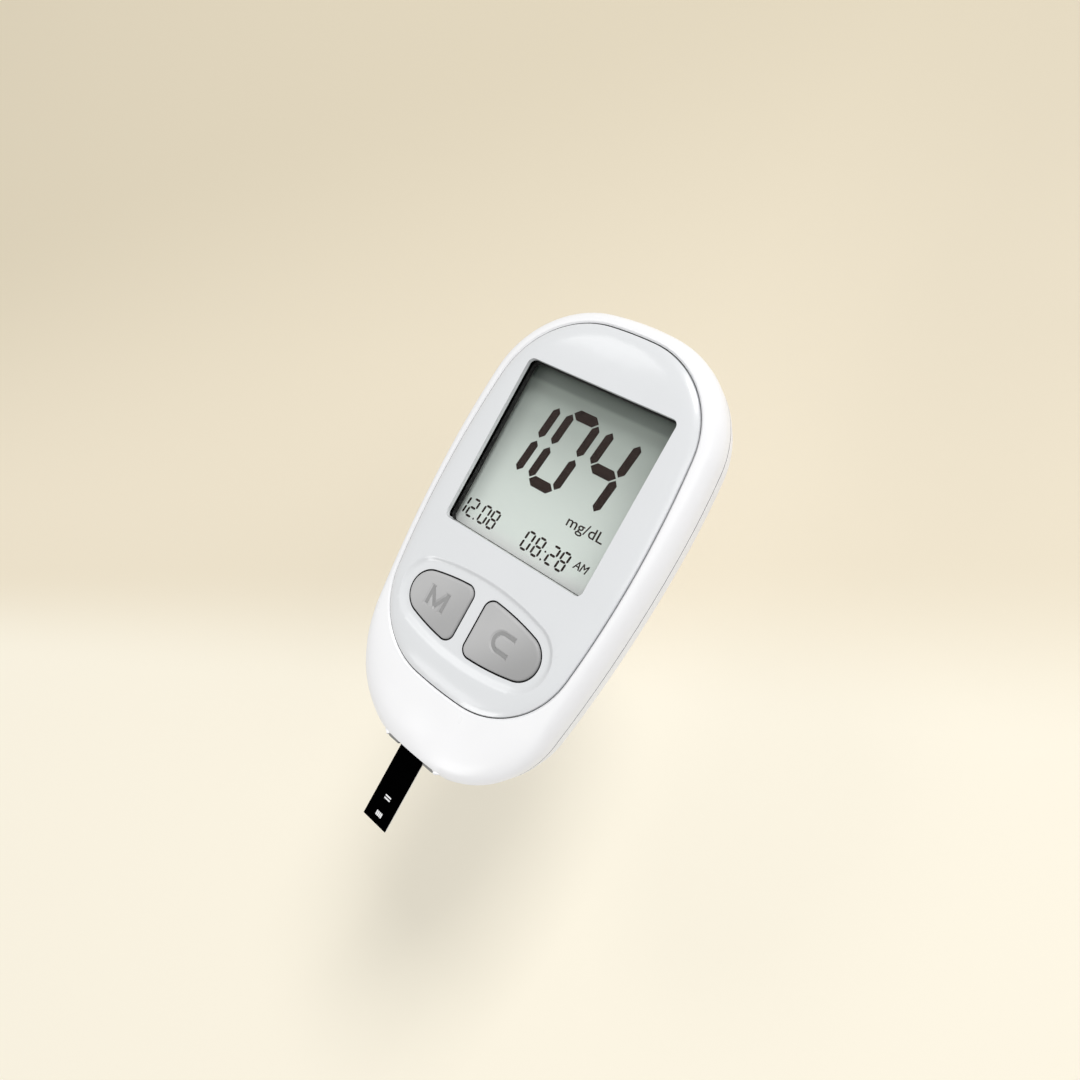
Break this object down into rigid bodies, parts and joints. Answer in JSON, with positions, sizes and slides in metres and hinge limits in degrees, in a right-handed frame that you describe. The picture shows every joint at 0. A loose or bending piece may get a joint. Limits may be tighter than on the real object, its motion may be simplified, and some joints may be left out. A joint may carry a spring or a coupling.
{
  "type": "blood glucose meter",
  "caption": "Hand-held blood glucose meter with an oval white casing, grey face plate, square display, two keys below it, a hinged battery door and a test strip in its port.",
  "frame": {"origin": "middle of the flat back, on the plane that the meter rests on", "axes": "+Z out of the display face, +X to the right and +Y to the top as the display is read; the strip leaves along -Y"},
  "size_m": [0.051, 0.1066, 0.021],
  "materials": {
    "casing_white": "satin injection-moulded white ABS with a very fine grain",
    "plate_grey": "satin cool light-grey moulded plastic",
    "button_grey": "mid-grey satin plastic keycaps",
    "silicone": "translucent grey moulded silicone",
    "clear_lens": "clear hard-coated acrylic window",
    "black_foam": "black closed-cell gasket foam",
    "holder_white": "plain white moulded plastic",
    "display_glass": "display glass with a grey-green tint",
    "reflector_film": "silvery grey-green reflector film",
    "zebra_rubber": "striped conductive elastomer",
    "board_green": "green solder mask over glass-fibre laminate",
    "chip_black": "black moulded chip package",
    "bright_steel": "zinc-plated steel",
    "ceramic_tan": "tan ceramic with tinned ends",
    "buzzer_black": "black moulded sounder case",
    "cell_jacket": "plain film-wrapped cell jacket with bright ends",
    "nickel_contact": "nickel-plated spring steel",
    "port_grey": "dark grey moulded plastic",
    "connector_black": "black high-temperature plastic",
    "gold_contact": "gold-plated leaf springs",
    "strip_film": "white polyester carrier film",
    "strip_black": "black coated cover film"
  },
  "bodies": {
    "casing": {"front_case": "casing_white", "rear_cover": "casing_white", "face_plate": "plate_grey", "m_key_dome": "silicone", "c_key_dome": "silicone", "keypad_mat": "silicone", "display_lens": "clear_lens", "display_gasket": "black_foam", "display_holder": "holder_white", "display_front_glass": "display_glass", "display_rear_glass": "display_glass", "display_reflector": "reflector_film", "upper_zebra_strip": "zebra_rubber", "lower_zebra_strip": "zebra_rubber", "main_board": "board_green", "microcontroller": "chip_black", "amplifier_chip": "chip_black", "memory_chip": "chip_black", "crystal": "bright_steel", "chip_capacitors": "ceramic_tan", "chip_resistors": "chip_black", "buzzer": "buzzer_black", "left_cell": "cell_jacket", "right_cell": "cell_jacket", "negative_terminal": "nickel_contact", "positive_terminal": "nickel_contact", "cell_link": "nickel_contact", "strip_guide": "port_grey", "strip_connector": "connector_black", "strip_springs": "gold_contact", "case_screws": "bright_steel", "board_screws": "bright_steel"},
    "door": {"battery_door": "casing_white"},
    "m_key": {"m_button": "button_grey"},
    "c_key": {"c_button": "button_grey"},
    "strip": {"strip_base": "strip_film", "strip_cover": "strip_black"}
  },
  "joints": [
    {"name": "door_hinge", "type": "hinge", "parent": "casing", "child": "door", "pos_m": [0, -0.02553, 0], "axis": [-1, 0, 0], "range_deg": [0, 70]},
    {"name": "m_button_press", "type": "slide", "parent": "casing", "child": "m_key", "axis": [0, 0, -1], "range_m": [0, 0.0006], "stiffness_N_per_m": 3000, "springref_m": -0.0001, "deforming": ["m_key_dome"]},
    {"name": "c_button_press", "type": "slide", "parent": "casing", "child": "c_key", "axis": [0, 0, -1], "range_m": [0, 0.0006], "stiffness_N_per_m": 3000, "springref_m": -0.0001, "deforming": ["c_key_dome"]},
    {"name": "strip_slide", "type": "slide", "parent": "casing", "child": "strip", "axis": [0, -1, 0], "range_m": [0, 0.016]}
  ]
}
